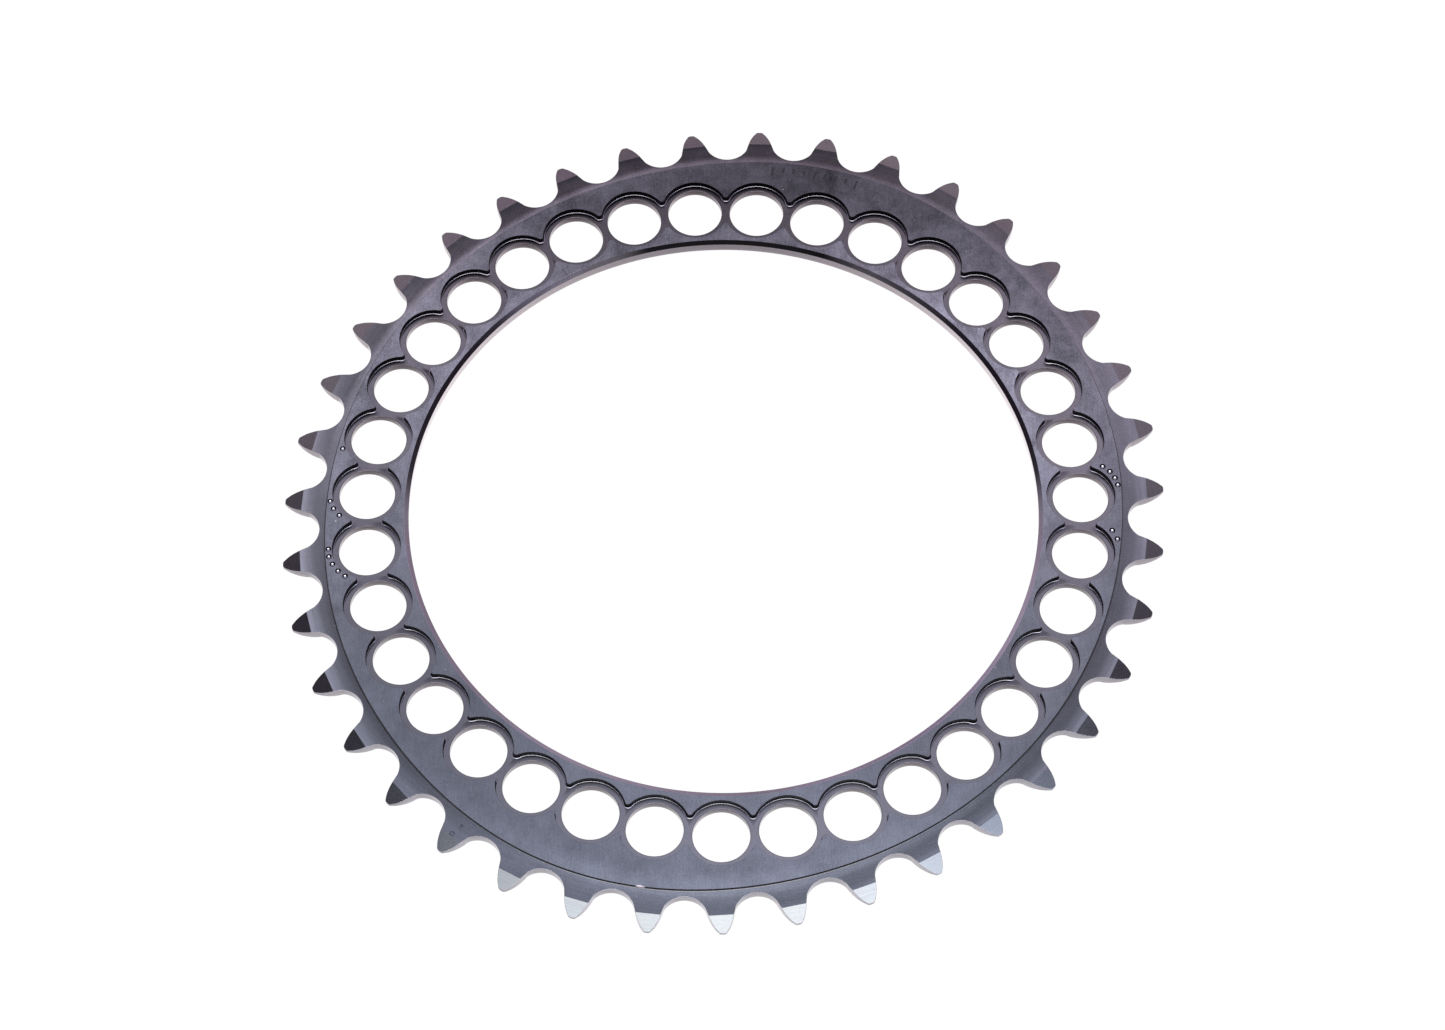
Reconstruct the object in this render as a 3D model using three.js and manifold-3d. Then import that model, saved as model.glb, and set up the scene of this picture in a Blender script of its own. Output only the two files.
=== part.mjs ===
// Oval chainring for a bicycle crank: 39 teeth for 12.7 mm pitch chain, 35 bolt
// holes on a 130 mm bolt circle, so that the oval can be turned to any of seven
// positions under a five-arm spider. One piece of aluminium plate.
//
// Frame: millimetres, +Z up. The origin is on the ring's axis in the plane of the
// flat back face, and +Z points out of the front (outer) face.
import * as THREE from 'three';
import { mergeVertices } from 'three/addons/utils/BufferGeometryUtils.js';
import Module from 'manifold-3d';

// ---- dimensions (mm; directions in degrees from +X) ----------------------------
const PLATE_T = 2.65;               // total thickness
const BAND_T = 2.05;                // thickness of the toothed band

// Teeth. Heights are measured outwards from the chord between two pitch points.
const TEETH = 39;
const CHAIN_PITCH = 12.7;           // half-inch chain
const FIRST_GAP = 7.81;             // direction of the first tooth gap
const GAP_R = 4.2;                  // radius of the tooth gaps
const GAP_STEPS = 6;                // segments round each gap
const TIP_H = 3.09;                 // height of the tooth tip
const LEAN = 0.04;                  // shift along the chord per mm of height
const LEAN_FROM = -1.4;             // height at which the lean is zero
const BEVEL_FROM = -0.05;           // height at which the tooth bevels start
const BEVEL_DROP = 0.65;            // how much each bevel takes off at the tip
const BEVEL_W = 6;                  // width of the bevel wedge, wider than a tooth

// Half width of a tooth at each height: [height, half width].
const TOOTH_HALF = [
  [-1.6, 2.67], [-0.05, 2.17], [1.0, 1.82], [1.8, 1.43], [2.6, 0.87], [2.95, 0.52], [TIP_H, 0.18],
];

// Root curve of the oval in polar form: the distance from its centre to the bottom
// of a tooth gap in direction t. Long axis near 68 degrees, short axis near 159.
const OVAL_X = 0.12;                // the oval's centre, off the bolt circle's axis
const ROOT_MEAN = 75.011;
const ROOT_WAVES = [                // [multiple of t, cosine part, sine part]
  [2, -1.734, 1.594], [4, 0.014, -0.380], [6, 0.076, 0.146], [8, -0.051, 0.015],
];

// Thicker body inside the toothed band.
const STEP_INSET = 1.1;             // front face ends this far inside the tooth roots
const STEP_RUN = 0.6;               // the step's slope, outwards
const STEP_H = PLATE_T - BAND_T;
const BODY_Z = 0.1;                 // underside of the body, buried in the band
const BODY_POINTS = 117;

// Open centre.
const BORE_R = 114.3 / 2;
const BORE_CHAMFER = 0.7;           // on the front edge
const BORE_SIDES = 96;

// Bolt holes.
const BOLT_CIRCLE_R = 130 / 2;
const HOLES = 5 * 7;                // five arms times seven positions
const FIRST_HOLE = 2.023;           // direction of the first hole's centre
const HOLE_R = 10.1 / 2;
const HOLE_SIDES = 16;
const SEAT_R = 12.5 / 2;            // counterbore for the bolt head's collar
const SEAT_Z = 1.55;                // counterbore floor
const CUSP_CUT_R = 3.14;            // blunts the cusps between counterbores
const SEAT_SIDES = 20;

// Alignment dimples on the front face, cut by a cone that overruns the face.
const DOT_DEPTH = 0.3;
const DOT_TIP_R = 0.05;
const DOT_OVERRUN = 0.1;
const DOT_TOP_R = 0.7;              // cone radius at the overrun height
const DOT_SIDES = 6;
const DOTS = [                      // [x, y]
  [-69.67, 12.62],
  [-71.45, 1.58], [-70.79, 0.01], [-69.69, -1.39],
  [-71.39, -8.38], [-71.19, -9.94], [-70.46, -11.48], [-69.41, -12.89], [-68.09, -13.95],
  [69.19, 8.21], [70.46, 7.15], [71.33, 5.82], [71.79, 4.36],
  [70.27, -5.15], [71.14, -6.94],
];

const OVERRUN = 1;                  // how far cutting tools run past the metal
const CHAMFER_OVERRUN = 0.5;

// ---- oval ------------------------------------------------------------------------
const TURN = 2 * Math.PI;
const { degToRad } = THREE.MathUtils;

function rootPoint(t) {
  let r = ROOT_MEAN;
  for (const [multiple, cosPart, sinPart] of ROOT_WAVES) {
    r += cosPart * Math.cos(multiple * t) + sinPart * Math.sin(multiple * t);
  }
  return new THREE.Vector2(OVAL_X + r * Math.cos(t), r * Math.sin(t));
}

// Outward normal of the root curve, from a short chord either side of t.
function rootNormal(t) {
  const nudge = 1e-4;
  const tangent = rootPoint(t + nudge).sub(rootPoint(t - nudge)).normalize();
  return new THREE.Vector2(tangent.y, -tangent.x);
}

// Point on the curve that lies `offset` outside the root curve.
function offsetPoint(t, offset) {
  return rootPoint(t).addScaledVector(rootNormal(t), offset);
}

function ovalOutline(offset, count) {
  return Array.from({ length: count }, (_, i) => offsetPoint((i / count) * TURN, offset));
}

// ---- pitch curve -------------------------------------------------------------------
// Value between low and high at which isBelow turns from true to false.
function bisect(low, high, rounds, isBelow) {
  for (let i = 0; i < rounds; i += 1) {
    const mid = (low + high) / 2;
    if (isBelow(mid)) low = mid;
    else high = mid;
  }
  return (low + high) / 2;
}

// Directions of the gaps: equal chords of one chain pitch around the offset curve.
// The last entry comes back to the first gap when the offset is right.
function stepAround(offset) {
  const minStep = 0.1;
  const maxStep = 0.22;
  const directions = [degToRad(FIRST_GAP)];
  for (let i = 0; i < TEETH; i += 1) {
    const last = directions[i];
    const from = offsetPoint(last, offset);
    const isShort = (t) => offsetPoint(t, offset).distanceTo(from) < CHAIN_PITCH;
    directions.push(bisect(last + minStep, last + maxStep, 50, isShort));
  }
  return directions;
}

// The pitch curve lies outside the root curve by the amount that makes the chords close.
function findPitchOffset() {
  const overshoots = (offset) => stepAround(offset)[TEETH] - degToRad(FIRST_GAP) - TURN > 0;
  return bisect(3.4, 4.4, 40, overshoots);
}

const pitchOffset = findPitchOffset();
const gaps = stepAround(pitchOffset).slice(0, TEETH);
const pitchPoints = gaps.map((t) => offsetPoint(t, pitchOffset));

// Tooth k stands between gap k and gap k + 1, on the middle of their chord.
const teeth = pitchPoints.map((start, k) => {
  const end = pitchPoints[(k + 1) % TEETH];
  const along = end.clone().sub(start).normalize();
  return {
    middle: start.clone().add(end).multiplyScalar(0.5),
    along,
    outward: new THREE.Vector2(along.y, -along.x),
  };
});

// ---- toothed outline -----------------------------------------------------------------
// Side is -1 for the flank next to gap k, +1 for the flank next to gap k + 1.
function toothPoint(tooth, side, [height, halfWidth]) {
  return tooth.middle.clone()
    .addScaledVector(tooth.along, side * halfWidth + LEAN * (height - LEAN_FROM))
    .addScaledVector(tooth.outward, height);
}

// Arc from the foot of the tooth before gap k to the foot of the tooth after it.
// Its radius is GAP_R at the bottom and eases to meet each foot.
function gapPoints(k) {
  const normal = rootNormal(gaps[k]);
  const centre = offsetPoint(gaps[k], GAP_R);
  const start = toothPoint(teeth[(k + TEETH - 1) % TEETH], 1, TOOTH_HALF[0]).sub(centre);
  const end = toothPoint(teeth[k], -1, TOOTH_HALF[0]).sub(centre);

  const inward = Math.atan2(-normal.y, -normal.x);
  const wrap = (angle) => Math.atan2(Math.sin(angle), Math.cos(angle));
  const nearInward = (v) => inward + wrap(Math.atan2(v.y, v.x) - inward);
  const startAngle = nearInward(start);
  const endAngle = nearInward(end);

  const points = [];
  for (let i = 0; i <= GAP_STEPS; i += 1) {
    const f = i / GAP_STEPS;
    const angle = startAngle + (endAngle - startAngle) * f;
    const footR = f < 0.5 ? start.length() : end.length();
    const r = GAP_R + (footR - GAP_R) * Math.abs(2 * f - 1) ** 3;
    points.push(new THREE.Vector2(centre.x + r * Math.cos(angle), centre.y + r * Math.sin(angle)));
  }
  return points;
}

function toothedOutline() {
  const rising = TOOTH_HALF.slice(1); // the gap arcs already hold the feet
  const falling = [...rising].reverse();
  return teeth.flatMap((tooth, k) => [
    ...gapPoints(k),
    ...rising.map((station) => toothPoint(tooth, -1, station)),
    ...falling.map((station) => toothPoint(tooth, 1, station)),
  ]);
}

// ---- solid helpers ---------------------------------------------------------------------
const wasm = await Module();
wasm.setup();

function solid(geometry) {
  let g = geometry.index ? geometry.toNonIndexed() : geometry.clone();
  g.deleteAttribute('normal');
  g.deleteAttribute('uv');
  g = mergeVertices(g, 1e-4);
  return new wasm.Manifold(new wasm.Mesh({
    numProp: 3,
    vertProperties: new Float32Array(g.attributes.position.array),
    triVerts: new Uint32Array(g.index.array),
  }));
}

function extrude(points, z0, z1) {
  const g = new THREE.ExtrudeGeometry(new THREE.Shape(points), {
    depth: z1 - z0,
    bevelEnabled: false,
    steps: 1,
    curveSegments: 1,
  });
  return g.translate(0, 0, z0);
}

// Round tool on a Z axis: radius r0 at z0 and r1 at z1. The polygon's sides straddle the circle.
function roundTool({ x = 0, y = 0, z0, z1, r0, r1 = r0, sides }) {
  const k = 0.5 + 0.5 / Math.cos(Math.PI / sides);
  const g = new THREE.CylinderGeometry(r1 * k, r0 * k, z1 - z0, sides);
  g.rotateX(Math.PI / 2);
  g.translate(x, y, (z0 + z1) / 2);
  return solid(g);
}

// ---- plate -------------------------------------------------------------------------------
const toothedBand = () => solid(extrude(toothedOutline(), 0, BAND_T));

// Body that ends in a sloped step inside the roots. The upper bevel's outer edge lies
// in the band's face; the lower bevel is buried in the band.
function steppedBody() {
  const shape = new THREE.Shape(ovalOutline(-STEP_INSET, BODY_POINTS));
  const g = new THREE.ExtrudeGeometry(shape, {
    depth: PLATE_T - 2 * STEP_H - BODY_Z,
    bevelEnabled: true,
    bevelThickness: STEP_H,
    bevelSize: STEP_RUN,
    bevelOffset: 0,
    bevelSegments: 1,
    steps: 1,
    curveSegments: 1,
  });
  return solid(g.translate(0, 0, BODY_Z + STEP_H));
}

// ---- cutting tools -------------------------------------------------------------------------
// Wedge across a tooth, laid on the tooth's own axes. Side is +1 for front, -1 for back.
function bevelWedge({ middle, along, outward }, side) {
  const slope = BEVEL_DROP / (TIP_H - BEVEL_FROM);
  const reach = TIP_H - BEVEL_FROM + OVERRUN;
  const profile = [                 // [outward from the bevel's start, up from the face]
    [0, 0], [reach, -side * slope * reach], [reach, side * OVERRUN], [0, side * OVERRUN],
  ].map(([x, y]) => new THREE.Vector2(x, y));
  const base = middle.clone().addScaledVector(outward, BEVEL_FROM);
  const placement = new THREE.Matrix4().makeBasis(
    new THREE.Vector3(outward.x, outward.y, 0),
    new THREE.Vector3(0, 0, 1),
    new THREE.Vector3(-along.x, -along.y, 0),
  );
  placement.setPosition(base.x, base.y, side > 0 ? BAND_T : 0);
  return solid(extrude(profile, -BEVEL_W / 2, BEVEL_W / 2).applyMatrix4(placement));
}

const toothBevels = () => teeth.flatMap((tooth) => [bevelWedge(tooth, 1), bevelWedge(tooth, -1)]);

// Open centre and the 45 degree chamfer on its front edge.
function boreTools() {
  return [
    roundTool({ z0: -OVERRUN, z1: PLATE_T + OVERRUN, r0: BORE_R, sides: BORE_SIDES }),
    roundTool({
      z0: PLATE_T - BORE_CHAMFER,
      z1: PLATE_T + CHAMFER_OVERRUN,
      r0: BORE_R,
      r1: BORE_R + BORE_CHAMFER + CHAMFER_OVERRUN,
      sides: BORE_SIDES,
    }),
  ];
}

// Bolt holes, the counterbores round them, which run together, and the cuts that
// blunt the cusps, each midway between two hole centres.
function boltTools() {
  const place = (index, r) => {
    const angle = degToRad(FIRST_HOLE) + (index / HOLES) * TURN;
    return { x: r * Math.cos(angle), y: r * Math.sin(angle) };
  };
  const seatCut = { z0: SEAT_Z, z1: PLATE_T + OVERRUN, sides: SEAT_SIDES };
  const midR = BOLT_CIRCLE_R * Math.cos(Math.PI / HOLES);
  const holes = [];
  const cusps = [];
  for (let i = 0; i < HOLES; i += 1) {
    const centre = place(i, BOLT_CIRCLE_R);
    holes.push(
      roundTool({ ...centre, z0: -OVERRUN, z1: PLATE_T, r0: HOLE_R, sides: HOLE_SIDES }),
      roundTool({ ...centre, ...seatCut, r0: SEAT_R }),
    );
    cusps.push(roundTool({ ...place(i + 0.5, midR), ...seatCut, r0: CUSP_CUT_R }));
  }
  return [...holes, ...cusps];
}

function dimpleTools() {
  return DOTS.map(([x, y]) => roundTool({
    x,
    y,
    z0: PLATE_T - DOT_DEPTH,
    z1: PLATE_T + DOT_OVERRUN,
    r0: DOT_TIP_R,
    r1: DOT_TOP_R,
    sides: DOT_SIDES,
  }));
}

// ---- assembly --------------------------------------------------------------------------------
function toGeometry(manifold) {
  const mesh = manifold.getMesh();
  const g = new THREE.BufferGeometry();
  g.setAttribute('position', new THREE.BufferAttribute(new Float32Array(mesh.vertProperties), 3));
  g.setIndex(new THREE.BufferAttribute(new Uint32Array(mesh.triVerts), 1));
  g.computeVertexNormals();
  return g;
}

function buildChainring() {
  const tools = [...toothBevels(), ...boreTools(), ...boltTools(), ...dimpleTools()];
  const blank = toothedBand().add(steppedBody());
  const ring = tools.reduce((part, tool) => part.subtract(tool), blank);
  const darkMetal = new THREE.MeshStandardMaterial({
    color: 0x2c2b30,
    roughness: 0.38,
    metalness: 0.9,
  });
  const mesh = new THREE.Mesh(toGeometry(ring), darkMetal);
  mesh.name = 'chainring';
  return mesh;
}

const group = new THREE.Group();
group.add(buildChainring());

export default group;
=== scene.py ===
# An oval bicycle chainring: a plate with a toothed outer band, a ring of bolt holes in
# run-together round seats, and an open centre. It lies flat, its axis on Z through the origin,
# back face down on z = 0 and front face up. The camera looks from -Y and above.
import math

import bpy
import numpy as np
from mathutils import Matrix, Vector
from mathutils.geometry import delaunay_2d_cdt


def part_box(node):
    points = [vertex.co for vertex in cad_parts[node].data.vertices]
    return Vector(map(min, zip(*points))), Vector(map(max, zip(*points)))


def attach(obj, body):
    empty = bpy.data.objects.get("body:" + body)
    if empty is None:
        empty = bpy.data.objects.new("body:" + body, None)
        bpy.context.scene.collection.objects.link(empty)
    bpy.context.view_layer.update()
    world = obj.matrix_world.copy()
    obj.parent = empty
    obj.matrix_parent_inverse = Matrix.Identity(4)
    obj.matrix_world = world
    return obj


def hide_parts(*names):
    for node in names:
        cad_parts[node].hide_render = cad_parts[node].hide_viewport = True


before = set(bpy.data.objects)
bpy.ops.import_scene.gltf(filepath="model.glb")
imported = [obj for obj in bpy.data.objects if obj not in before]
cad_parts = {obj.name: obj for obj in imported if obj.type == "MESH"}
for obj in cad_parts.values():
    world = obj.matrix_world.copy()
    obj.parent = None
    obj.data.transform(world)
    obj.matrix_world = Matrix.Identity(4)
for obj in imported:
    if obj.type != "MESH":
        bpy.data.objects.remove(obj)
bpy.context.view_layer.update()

# ---------------------------------------------------------------- sizes
# The ring is built in millimetres and scaled to metres when the mesh is made.
NODE = "chainring"
LOW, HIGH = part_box(NODE)
Z_BACK = LOW.z * 1000.0
Z_FRONT = HIGH.z * 1000.0

TEETH = 39
PITCH = 12.7
START = math.radians(7.81)           # direction of the first gap between teeth
GAP_R = 4.2                          # radius of a gap's bottom
SHOULDER = (-1.6, 2.67)              # height and half width where a gap's arc meets a tooth
LEAN = 0.04                          # teeth lean this much along the chord per mm of height
BEVEL_H = -0.05                      # tooth bevels start here, over the chord of the pitch points
FRONT_BEVEL = 0.172                  # slope of the front bevel, on top of the band's own fall
BACK_BEVEL = 0.224
EDGE = 0.06                          # broken edge round the teeth
GAP_EDGE = 0.36                      # broken back edge in the gaps

# The curve of tooth roots: mean radius, and waves as (times round, cosine, sine).
ROOT_R = 75.011
WAVES = [(2, -1.734, 1.594), (4, 0.014, -0.380), (6, 0.076, 0.146), (8, -0.051, 0.015)]
OVAL = np.array([0.12, 0.0])         # the oval's centre, off the bolt circle's axis

# Half a tooth, from its foot to its tip: height over the chord, half width.
TOOTH_HALF = [
    (-1.0, 2.48), (-0.6, 2.345), (-0.2, 2.22), (0.2, 2.10), (0.6, 1.96), (1.0, 1.815),
    (1.4, 1.635), (1.8, 1.435), (2.1, 1.265), (2.4, 1.055), (2.6, 0.905), (2.8, 0.75),
    (2.93, 0.645), (3.03, 0.53), (3.09, 0.38), (3.12, 0.16)]

HOLES = 35
BOLT_CIRCLE_R = 65.0
HOLE_R = 5.05
HOLE_PHASE = math.radians(2.023)
SEAT_R = 6.25
SEAT_Z = Z_BACK + 1.55
CUSP_R = 0.5                         # the cusps between seats are blunt
COVE_ARC, COVE_CUSP = 0.17, 0.34     # cove at the seat wall's foot: along the arcs, at the cusps

BORE_R = 57.15
CHAMFER_W, CHAMFER_D = 0.80, 0.42    # lead-in chamfer of the bore: width and depth

BAND_Z = Z_BACK + 2.15               # toothed band at the foot of the step
STEP_OUT = -1.1                      # the step, measured out from the curve of roots
COVE_R = 0.22
TILT_IN, TILT_OUT = 0.073, 0.038     # fall of the band's face at the step and at the teeth
BAND_IN, BAND_OUT = STEP_OUT + COVE_R, 3.6

# Dimples in the front face: x, y, radius.
DIMPLES = [
    (-69.67, 12.62, 0.52), (-71.45, 1.575, 0.495), (-70.79, 0.014, 0.52),
    (-69.685, -1.386, 0.52), (-71.36, -8.37, 0.51), (-71.19, -9.94, 0.52),
    (-70.467, -11.481, 0.52), (-69.411, -12.89, 0.52), (-68.095, -13.948, 0.52),
    (69.19, 8.21, 0.55), (70.46, 7.15, 0.55), (71.33, 5.82, 0.55),
    (71.77, 4.357, 0.54), (70.27, -5.15, 0.55), (71.12, -6.943, 0.54)]
DIMPLE_EDGE, DIMPLE_DEPTH = 0.012, 0.21

# Turned profiles: radius, z, normal's outward part, normal's upward part, edge wear.
BORE_PROFILE = [
    (BORE_R + CHAMFER_W + 0.014, Z_FRONT, -0.04, 0.999, 0.1),
    (BORE_R + CHAMFER_W - 0.01, Z_FRONT - 0.006, -0.30, 0.95, 0.1),
    (BORE_R + CHAMFER_W - 0.035, Z_FRONT - 0.018, -0.465, 0.885, 0),
    (BORE_R + 0.026, Z_FRONT - CHAMFER_D + 0.012, -0.465, 0.885, 0),
    (BORE_R + 0.006, Z_FRONT - CHAMFER_D - 0.006, -0.86, 0.51, 0.6),
    (BORE_R, Z_FRONT - CHAMFER_D - 0.035, -1, 0, 0.2),
    (BORE_R, Z_BACK + 0.44, -1, 0, 0.1),
    (BORE_R + 0.02, Z_BACK + 0.40, -0.707, -0.707, 0.2),
    (BORE_R + 0.40, Z_BACK + 0.02, -0.707, -0.707, 0.2),
    (BORE_R + 0.44, Z_BACK, 0, -1, 0.3)]
HOLE_PROFILE = [
    (HOLE_R + 0.12, SEAT_Z, 0, 1, 0.5),
    (HOLE_R + 0.057, SEAT_Z - 0.012, -0.42, 0.9, 1),
    (HOLE_R + 0.012, SEAT_Z - 0.057, -0.9, 0.42, 0.8),
    (HOLE_R, SEAT_Z - 0.12, -1, 0, 0),
    (HOLE_R, Z_BACK + 0.20, -1, 0, 0),
    (HOLE_R + 0.02, Z_BACK + 0.165, -0.707, -0.707, 0.2),
    (HOLE_R + 0.165, Z_BACK + 0.02, -0.707, -0.707, 0.2),
    (HOLE_R + 0.20, Z_BACK, 0, -1, 0.3)]
# Engraved index mark, the same columns with half width for radius and z from the front face.
MARK_PROFILE = [
    (0.19, 0, 0, 1, 0.4), (0.165, -0.012, -0.6, 0.8, 0.6), (0.15, -0.045, -0.93, 0.36, 0),
    (0.13, -0.10, -0.85, 0.5, 0), (0.09, -0.125, -0.2, 1, 0)]

# ---------------------------------------------------------------- plan geometry


def polar(radius, angle):
    return radius * np.array([math.cos(angle), math.sin(angle)])


def full_turn(count, start=0.0):
    return start + np.arange(count) / count * 2 * math.pi


def directions(angles):
    return np.c_[np.cos(angles), np.sin(angles)]


def unit(vectors):
    return vectors / np.linalg.norm(vectors, axis=-1, keepdims=True)


def ease(x):
    return x * x * (3 - 2 * x)


def wrap(angle):
    return (angle + math.pi) % (2 * math.pi) - math.pi


def bisect(beyond, low, high, steps):
    """Narrows low .. high round the place where beyond() turns true."""
    for _ in range(steps):
        middle = 0.5 * (low + high)
        if beyond(middle):
            high = middle
        else:
            low = middle
    return low, high


def root_radius(angle):
    radius = ROOT_R + 0 * angle
    for times, cosine, sine in WAVES:
        radius = radius + cosine * np.cos(times * angle) + sine * np.sin(times * angle)
    return radius


def root_curve(angles, offset=0.0):
    """Points of the curve of tooth roots, moved out by offset, and their outward normals."""
    angles = np.atleast_1d(np.asarray(angles, float))
    small = 1e-4

    def place(angle):
        radius = root_radius(angle)
        return np.c_[radius * np.cos(angle), radius * np.sin(angle)]

    along = unit(place(angles + small) - place(angles - small))
    outward = np.c_[along[:, 1], -along[:, 0]]
    return OVAL + place(angles) + outward * offset, outward


def walk_chords(offset):
    """Directions of points one pitch apart on the offset curve, one step for each tooth."""
    angles = [START]
    for _ in range(TEETH):
        last = angles[-1]
        here = root_curve(last, offset)[0][0]

        def reaches(angle):
            return np.linalg.norm(root_curve(angle, offset)[0][0] - here) >= PITCH

        low, high = bisect(reaches, last + 0.1, last + 0.22, 30)
        angles.append(0.5 * (low + high))
    return angles


def pitch_offset():
    """Offset at which the chords close up after one turn."""
    low, high = bisect(lambda offset: walk_chords(offset)[-1] - START - 2 * math.pi <= 0,
                       3.80, 3.84, 18)
    return 0.5 * (low + high)


PITCH_OFFSET = pitch_offset()
GAPS = np.array(walk_chords(PITCH_OFFSET)[:TEETH])


def tooth_frames():
    """Middle, direction and outward normal of the chord under each tooth."""
    points = root_curve(GAPS, PITCH_OFFSET)[0]
    middles, alongs, outs = [], [], []
    for k in range(TEETH):
        first, second = points[k], points[(k + 1) % TEETH]
        along = (second - first) / np.linalg.norm(second - first)
        middles.append((first + second) / 2)
        alongs.append(along)
        outs.append(np.array([along[1], -along[0]]))
    return np.array(middles), np.array(alongs), np.array(outs)


TOOTH_MID, TOOTH_ALONG, TOOTH_OUT = tooth_frames()
TOOTH_ANGLE = np.arctan2(TOOTH_MID[:, 1], TOOTH_MID[:, 0])


def root_depth(points):
    """How far points lie outside the curve of tooth roots, and its normals there."""
    angles = np.arctan2(points[:, 1] - OVAL[1], points[:, 0] - OVAL[0])
    foot, outward = root_curve(angles)
    return np.einsum("ij,ij->i", points - foot, outward), outward


def band_fall(depth):
    """Drop and slope of the band's front face at a depth outside the curve of roots."""
    x = np.clip(depth, BAND_IN, 8.0) - BAND_IN
    change = (TILT_OUT - TILT_IN) / (BAND_OUT - BAND_IN)
    inner = np.minimum(x, BAND_OUT - BAND_IN)
    drop = TILT_IN * inner + 0.5 * change * inner * inner + TILT_OUT * (x - inner)
    return drop, TILT_IN + change * inner


def nearest_tooth(points):
    angles = np.arctan2(points[:, 1], points[:, 0])
    return np.argmin(np.abs(wrap(angles[:, None] - TOOTH_ANGLE[None])), axis=1)


def tooth_point(tooth, side, height, width):
    shift = side * width + LEAN * (height + 1.4)
    return TOOTH_MID[tooth] + TOOTH_ALONG[tooth] * shift + TOOTH_OUT[tooth] * height


def height_over(points, teeth):
    return np.einsum("ij,ij->i", points - TOOTH_MID[teeth], TOOTH_OUT[teeth])


def over_bevel(points, teeth):
    return np.maximum(0, height_over(points, teeth) - BEVEL_H)


def front_z(points, teeth=None):
    teeth = nearest_tooth(points) if teeth is None else teeth
    drop = band_fall(root_depth(points)[0])[0]
    return BAND_Z - drop - FRONT_BEVEL * over_bevel(points, teeth)


def back_z(points, teeth=None):
    teeth = nearest_tooth(points) if teeth is None else teeth
    return Z_BACK + BACK_BEVEL * over_bevel(points, teeth)


# ---------------------------------------------------------------- toothed outline


def control_points():
    """Control points of the outline, gap then tooth, and the tooth each belongs to."""
    points, owners = [], []
    for tooth in range(TEETH):
        before = (tooth - 1) % TEETH
        centres, outs = root_curve(GAPS[tooth], GAP_R)
        centre, out = centres[0], outs[0]
        start = tooth_point(before, 1, *SHOULDER) - centre
        end = tooth_point(tooth, -1, *SHOULDER) - centre
        down = math.atan2(-out[1], -out[0])
        start_angle = down + wrap(math.atan2(start[1], start[0]) - down)
        end_angle = down + wrap(math.atan2(end[1], end[0]) - down)
        start_r, end_r = np.linalg.norm(start), np.linalg.norm(end)
        for i in range(9):
            part = i / 8
            flare = abs(2 * part - 1) ** 3
            angle = start_angle + (end_angle - start_angle) * part
            radius = GAP_R + ((start_r if part < 0.5 else end_r) - GAP_R) * flare
            points.append(centre + polar(radius, angle))
            owners.append(before if part < 0.5 else tooth)
        for side, rows in ((-1, TOOTH_HALF), (1, TOOTH_HALF[::-1])):
            for height, width in rows:
                points.append(tooth_point(tooth, side, height, width))
                owners.append(tooth)
    return np.array(points), owners


CONTROL, OWNER = control_points()


def spline(i, part):
    """Centripetal Catmull-Rom from control point i to i + 1: point and outward normal."""
    points = [CONTROL[(i + j) % len(CONTROL)] for j in (-1, 0, 1, 2)]
    knots = [0.0]
    for j in range(3):
        gap = np.linalg.norm(points[j + 1] - points[j])
        knots.append(knots[-1] + max(1e-6, gap) ** 0.5)

    def place(x):
        def between(a, b, first, second):
            span = knots[b] - knots[a]
            return (knots[b] - x) / span * first + (x - knots[a]) / span * second

        legs = [between(j, j + 1, points[j], points[j + 1]) for j in range(3)]
        return between(1, 2, between(0, 2, legs[0], legs[1]), between(1, 3, legs[1], legs[2]))

    x = knots[1] + (knots[2] - knots[1]) * part
    small = (knots[2] - knots[1]) * 1e-3
    along = place(x + small) - place(x - small)
    along = along / np.linalg.norm(along)
    return place(x), np.array([along[1], -along[0]])


def bevel_crossing(i, tooth):
    """Where between control points i and i + 1 the front edge crosses the bevel's line."""
    def over(part):
        point, out = spline(i, part)
        return float((point - out * EDGE - TOOTH_MID[tooth]) @ TOOTH_OUT[tooth]) - BEVEL_H

    first = over(0.0)
    if first * over(1.0) >= 0:
        return None
    return bisect(lambda part: over(part) * first <= 0, 0.0, 1.0, 40)[0]


def sample_outline():
    points, outs, teeth = [], [], []
    for i in range(len(CONTROL)):
        after = (i + 1) % len(CONTROL)
        length = np.linalg.norm(CONTROL[after] - CONTROL[i])
        count = 4 if length > 0.75 else 3 if length > 0.4 else 2
        parts = [j / count for j in range(count)]
        crossing = bevel_crossing(i, OWNER[i]) if OWNER[i] == OWNER[after] else None
        if crossing is not None:
            parts = [f for f in parts if abs(f - crossing) > 0.12 or f == 0.0]
            parts = sorted(parts + [crossing])
        for part in parts:
            point, out = spline(i, part)
            points.append(point)
            outs.append(out)
            teeth.append(OWNER[i])
    return np.array(points), np.array(outs), np.array(teeth)


outline, outline_out, outline_tooth = sample_outline()
front_outline = outline - outline_out * EDGE
front_height = height_over(front_outline, outline_tooth)

# Each tooth's two points on the bevel's line are linked, so a mesh edge runs between them.
crossings = {}
for i in np.flatnonzero(np.abs(front_height - BEVEL_H) < 1e-6):
    crossings.setdefault(int(outline_tooth[i]), []).append(int(i))
bevel_links = [tuple(crossings[k]) for k in range(TEETH)]

# The back edge is broken more in the gaps.
in_gap = ease(np.clip((-0.7 - height_over(outline, outline_tooth)) / 1.6, 0, 1))
back_break = EDGE + (GAP_EDGE - EDGE) * in_gap
back_outline = outline - outline_out * back_break[:, None]

# ---------------------------------------------------------------- mesh builder

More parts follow.
